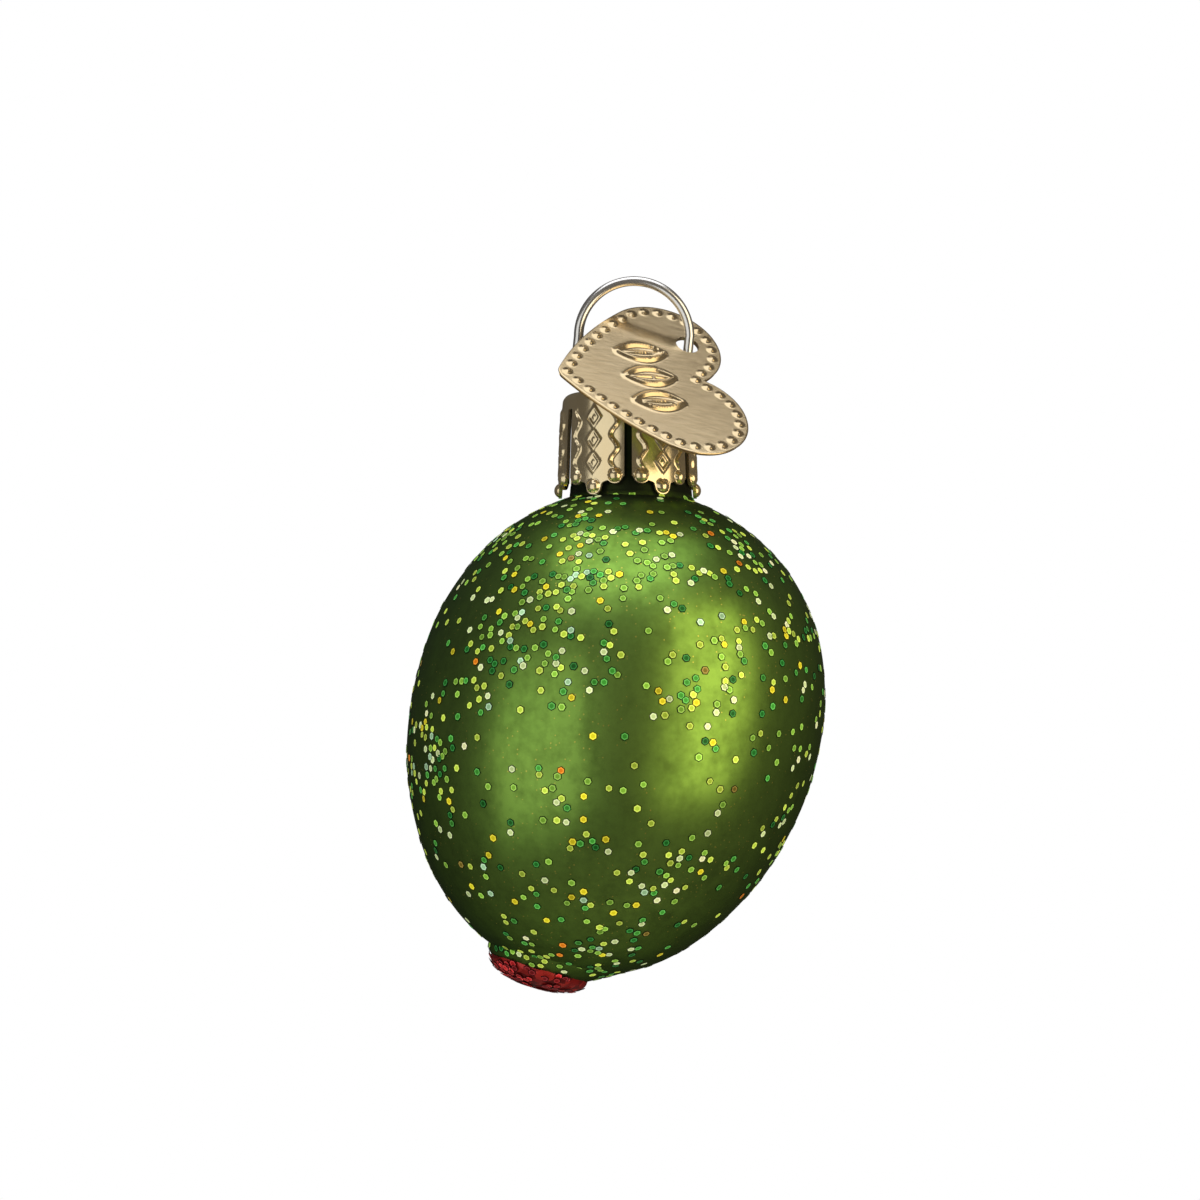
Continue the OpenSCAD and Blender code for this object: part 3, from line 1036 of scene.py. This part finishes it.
def flakeDensity(world):
    spec = densitySpec
    x, y, z = world
    fine = spec["fineShare"] * noise.noise(world * spec["fineScale"])
    clump = noise.noise(world * spec["clumpScale"]) + fine
    uneven = between(spec["clumpLeast"], 1.0 + spec["clumpGain"] * clump, spec["clumpMost"])
    if y > 0:
        higher = between(0.0, (z - spec["backFrom"]) / spec["backSpan"], 1.0)
        return (spec["backLeast"] + spec["backRise"] * higher) * uneven
    crowd = spec["frontLeast"]
    for crowdX, crowdZ, reach, weight in flakeCrowds:
        crowd = max(crowd, weight * bump(math.hypot(x - crowdX, z - crowdZ), reach))
    return crowd * uneven


strewSpec = dict(
    tries=60000, front=830, back=470,
    neckReach=5.9, neckDepth=2.5, endGap=0.55,          # bare places round the neck and at the end
    trails=30, trailFrom=(-0.9, 0.85), trailFlakes=(3, 8), trailBend=1.2, trailStride=(0.8, 2.4),
    trailLimits=(-21.5, 21.8), trailRadius=4.0,
    collarTries=70, collarReach=(0.05, 0.9), turnStep=0.02, shareStep=0.05,
    neckTries=26, neckDrop=(0.86, 1.08),                # on the neck's root, just under the petals
    redCount=170, redCrowd=0.7, redReach=0.95, redLean=0.3, redAbove=0.05,
)


def buildGlitter():
    spec = strewSpec
    rng = random.Random(flakeSpec["seed"])
    matrix, domeTop = oliveFrame()
    toWorld = matrix.to_3x3()
    centre = matrix.translation / mm
    halfLength = oliveSpec["halfLength"]
    found = []
    counts = {True: 0, False: 0}     # flakes on the front and on the back

    def hasRoom(world):
        return all((world - other).length >= flakeSpec["gap"] for other, normal in found)

    def tryFlake(turn, u, force):
        local = oliveSpot(turn, u)
        local += local.normalized() * dentAt(local)
        world = toWorld @ local + centre
        if math.hypot(world.x, world.y) < spec["neckReach"] and world.z > domeTop - spec["neckDepth"]:
            return
        if u > halfLength - spec["endGap"]:
            return
        if not force and rng.random() > flakeDensity(world):
            return
        if hasRoom(world):
            found.append((world, toWorld @ surfaceNormal(turn, u)))
            counts[world.y < 0] += 1

    for attempt in range(spec["tries"]):
        turn = rng.uniform(0, fullTurn)
        onFront = math.sin(turn) < 0
        if counts[onFront] >= (spec["front"] if onFront else spec["back"]):
            continue
        tryFlake(turn, halfLength * rng.uniform(-1, 1), False)

    # short crooked trails of flakes
    for trail in range(spec["trails"]):
        turn = rng.uniform(0, fullTurn)
        u = halfLength * rng.uniform(*spec["trailFrom"])
        heading = rng.uniform(0, fullTurn)
        for k in range(rng.randint(*spec["trailFlakes"])):
            tryFlake(turn, u, True)
            heading += rng.uniform(-spec["trailBend"], spec["trailBend"])
            stride = rng.uniform(*spec["trailStride"])
            low, high = spec["trailLimits"]
            u = between(low, u + stride * math.cos(heading), high)
            turn += stride * math.sin(heading) / max(spec["trailRadius"], oliveRadius(u, 0))

    for k in range(spec["collarTries"]):
        turn = rng.uniform(0, fullTurn)
        part = rng.uniform(*spec["collarReach"])
        spot = collarSpot(turn, part)
        across = collarSpot(turn + spec["turnStep"], part) - spot
        along = collarSpot(turn, part + spec["shareStep"]) - spot
        world = toWorld @ spot + centre
        if hasRoom(world):
            found.append((world, toWorld @ across.cross(along).normalized() * -1))

    (lowRadius, lowLevel), (highRadius, highLevel) = neckSpec["root"][1:3]
    slope = (lowRadius - highRadius) / (highLevel - lowLevel)
    for k in range(spec["neckTries"]):
        turn = rng.uniform(0, fullTurn)
        drop = rng.uniform(*spec["neckDrop"])
        out = Vector((math.cos(turn), math.sin(turn), 0))
        world = out * (highRadius + slope * (drop + highLevel)) + Vector((0, 0, domeTop - drop))
        if hasRoom(world):
            found.append((world, (out + Vector((0, 0, slope))).normalized()))
    strewFlakes("greenGlitter", found, flakeTints, flakeFinish("greenFlakes"), rng)

    red = []
    for k in range(spec["redCount"]):
        turn = rng.uniform(0, fullTurn)
        part = rng.random() ** spec["redCrowd"] * spec["redReach"]
        local = pimentoSpot(turn, part)
        lean = (1 - part) * spec["redLean"]
        normal = Vector((local.x * lean, local.y * lean, -1.0 - part)).normalized()
        local += normal * spec["redAbove"]
        red.append((toWorld @ local + centre, toWorld @ normal))
    strewFlakes("redGlitter", red, redTints, flakeFinish("redFlakes"), rng)


# heart tag: sheet cut to outline, stamped with a bead border and three plain leaves, and punched

tagSpec = dict(
    sheet=0.4, lobeRadius=5.5, lobeX=4.8, tipY=10.45, tipRadius=1.1, sideRadius=30.0, outline=480,
    hole=(-5.05, 2.4), holeRadius=1.1, holeSides=48, holeDepth=4,
    beadRadius=0.52, beadHeight=0.18, beadIn=0.85, beadCount=19,
    lean=46, turn=23, roll=-92, hang=0.05, hangShare=0.4,
    middle=(0.0, -2.4), middleReach=1.0,                # the rings of the sheet close in on this point
    edgeShares=(1.0, 0.996, 0.988), edgeLevels=(-0.07, -0.015, 0.0),
    borderStep=0.011, borderRings=22, fieldRings=46,
)
leafSpec = dict(places=(-3.4, 0.0, 3.4), middleY=-2.7, halfLong=2.4, halfWide=1.05, rim=0.28, rimWidth=0.27,
                vein=0.15, veinWidth=0.18, reach=1.2, fadeEnd=1.12, fadeGain=6)


# right half of the heart as arcs: centre, radius, first and last turn
def heartArcs(inset):
    spec = tagSpec
    lobe = Vector((spec["lobeX"], 0))
    tip = Vector((0, -spec["tipY"]))
    toLobe = spec["sideRadius"] - spec["lobeRadius"]
    toTip = spec["sideRadius"] - spec["tipRadius"]
    gap = (tip - lobe).length
    along = (tip - lobe) / gap
    reach = (toLobe ** 2 - toTip ** 2 + gap ** 2) / (2 * gap)
    off = math.sqrt(toLobe ** 2 - reach ** 2)
    side = lobe + along * reach + Vector((along.y, -along.x)) * off
    lobeOut = (lobe - side) / toLobe
    tipOut = (tip - side) / toTip
    notchTurn = math.pi - math.acos(spec["lobeX"] / spec["lobeRadius"])
    notch = Vector((0, spec["lobeRadius"] * math.sin(notchTurn)))
    lobeTurn = math.atan2(lobeOut.y, lobeOut.x)
    tipTurn = math.atan2(tipOut.y, tipOut.x)
    arcs = [(lobe, spec["lobeRadius"] - inset, notchTurn, lobeTurn),
            (side, spec["sideRadius"] - inset, lobeTurn, tipTurn),
            (tip, spec["tipRadius"] - inset, tipTurn, -math.pi / 2)]
    if inset > 0:
        arcs.insert(0, (notch, inset, -math.pi / 2, notchTurn - math.pi))
    return arcs


def alongArcs(arcs, distance):
    for i, (centre, radius, start, end) in enumerate(arcs):
        length = radius * abs(end - start)
        if distance <= length or i == len(arcs) - 1:
            turn = start + (end - start) * min(1.0, distance / length)
            return centre + Vector((math.cos(turn), math.sin(turn))) * radius
        distance -= length


def arcLength(arcs):
    return sum(radius * abs(end - start) for centre, radius, start, end in arcs)


def mirrored(point):
    return Vector((-point.x, point.y))


def heartOutline():
    half = tagSpec["outline"] // 2
    arcs = heartArcs(0.0)
    total = arcLength(arcs)
    right = [alongArcs(arcs, total * i / half) for i in range(half + 1)]
    return right + [mirrored(p) for p in reversed(right[1:-1])]


def borderBeads():
    row = heartArcs(tagSpec["beadIn"])
    length = arcLength(row)
    beads = [alongArcs(row, 0.0), alongArcs(row, length)]
    for i in range(1, tagSpec["beadCount"] + 1):
        bead = alongArcs(row, length * i / (tagSpec["beadCount"] + 1))
        beads += [bead, mirrored(bead)]
    return beads


def tagStamp(x, y, beads):
    radius = tagSpec["beadRadius"]
    height = 0.0
    for bead in beads:
        if abs(bead.x - x) < radius and abs(bead.y - y) < radius:
            away = math.hypot(bead.x - x, bead.y - y)
            if away < radius:
                height = max(height, tagSpec["beadHeight"] * (0.5 + 0.5 * math.cos(math.pi * away / radius)))
    leaf = leafSpec
    along = (y - leaf["middleY"]) / leaf["halfLong"]
    if abs(along) < leaf["reach"]:
        swell = max(0.0, 1 - along * along)
        fade = between(0.0, leaf["fadeGain"] * (leaf["fadeEnd"] - abs(along)), 1.0)
        for centre in leaf["places"]:
            away = abs(x - centre)
            rim = leaf["rim"] * bump(away - leaf["halfWide"] * swell, leaf["rimWidth"]) * fade
            height = max(height, rim, leaf["vein"] * bump(away, leaf["veinWidth"]) * swell)
    return height


def buildHeartTag():
    spec = tagSpec
    outline = heartOutline()
    beads = borderBeads()
    middle = Vector(spec["middle"])
    shares = list(spec["edgeShares"])
    shares += [shares[-1] - spec["borderStep"] * i for i in range(1, spec["borderRings"] + 1)]
    shares += [shares[-1] * (1 - i / spec["fieldRings"]) for i in range(1, spec["fieldRings"])]
    rings = []
    for k, share in enumerate(shares):
        ring = []
        for point in outline:
            spot = middle + (point - middle) * share
            onEdge = k < len(spec["edgeLevels"])
            level = spec["edgeLevels"][k] if onEdge else tagStamp(spot.x, spot.y, beads)
            ring.append(Vector((spot.x, spot.y, level)) * mm)
        rings.append(ring)
    tag = pullRings("heartTag", rings, "NOTHING")
    fillMiddle(tag, openMesh(tag), middle * mm, spec["middleReach"] * mm)
    if sum(f.normal.z * f.area for f in tag.data.polygons) < 0:
        flipFaces(tag)
    addModifier(tag, "SOLIDIFY", thickness=spec["sheet"] * mm, offset=-1.0, use_even_offset=False)
    holeX, holeY = spec["hole"]
    deselectAll()
    bpy.ops.mesh.primitive_cylinder_add(vertices=spec["holeSides"], radius=spec["holeRadius"] * mm,
                                        depth=spec["holeDepth"] * mm, location=(holeX * mm, holeY * mm, 0))
    cutWith(tag, takeActive("punch"), "DIFFERENCE")

    # hung by its hole on the right side of the loop
    lean, turn, roll = (math.radians(spec[key]) for key in ("lean", "turn", "roll"))
    hangLevel = -wireSpec["eyeRadius"] - spec["hangShare"] * wireSpec["sideLength"]
    hang = Vector((wireLevels()[0] + spec["hang"], 0, hangLevel)) * mm
    toHole = Vector((-holeX, -holeY, spec["sheet"] / 2)) * mm
    place(tag, Matrix.Translation(hang) @ Matrix.Rotation(turn, 4, "Z") @ Matrix.Rotation(lean, 4, "X")
          @ Matrix.Rotation(roll, 4, "Z") @ Matrix.Translation(toHole))
    shadeSmooth(tag, degrees=40)
    finishPiece(tag, tagFinish((-lean, 0, -turn)), "tag", "heart_tag")


addCamera()
addLamps()
addStage()
buildHangerWire()
buildCrownCap()
buildOlive()
buildPimento()
buildGlitter()
buildHeartTag()
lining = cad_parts["silver_lining"]
lining.data.materials.clear()
lining.data.materials.append(liningFinish().material)
print("silver lining finished")
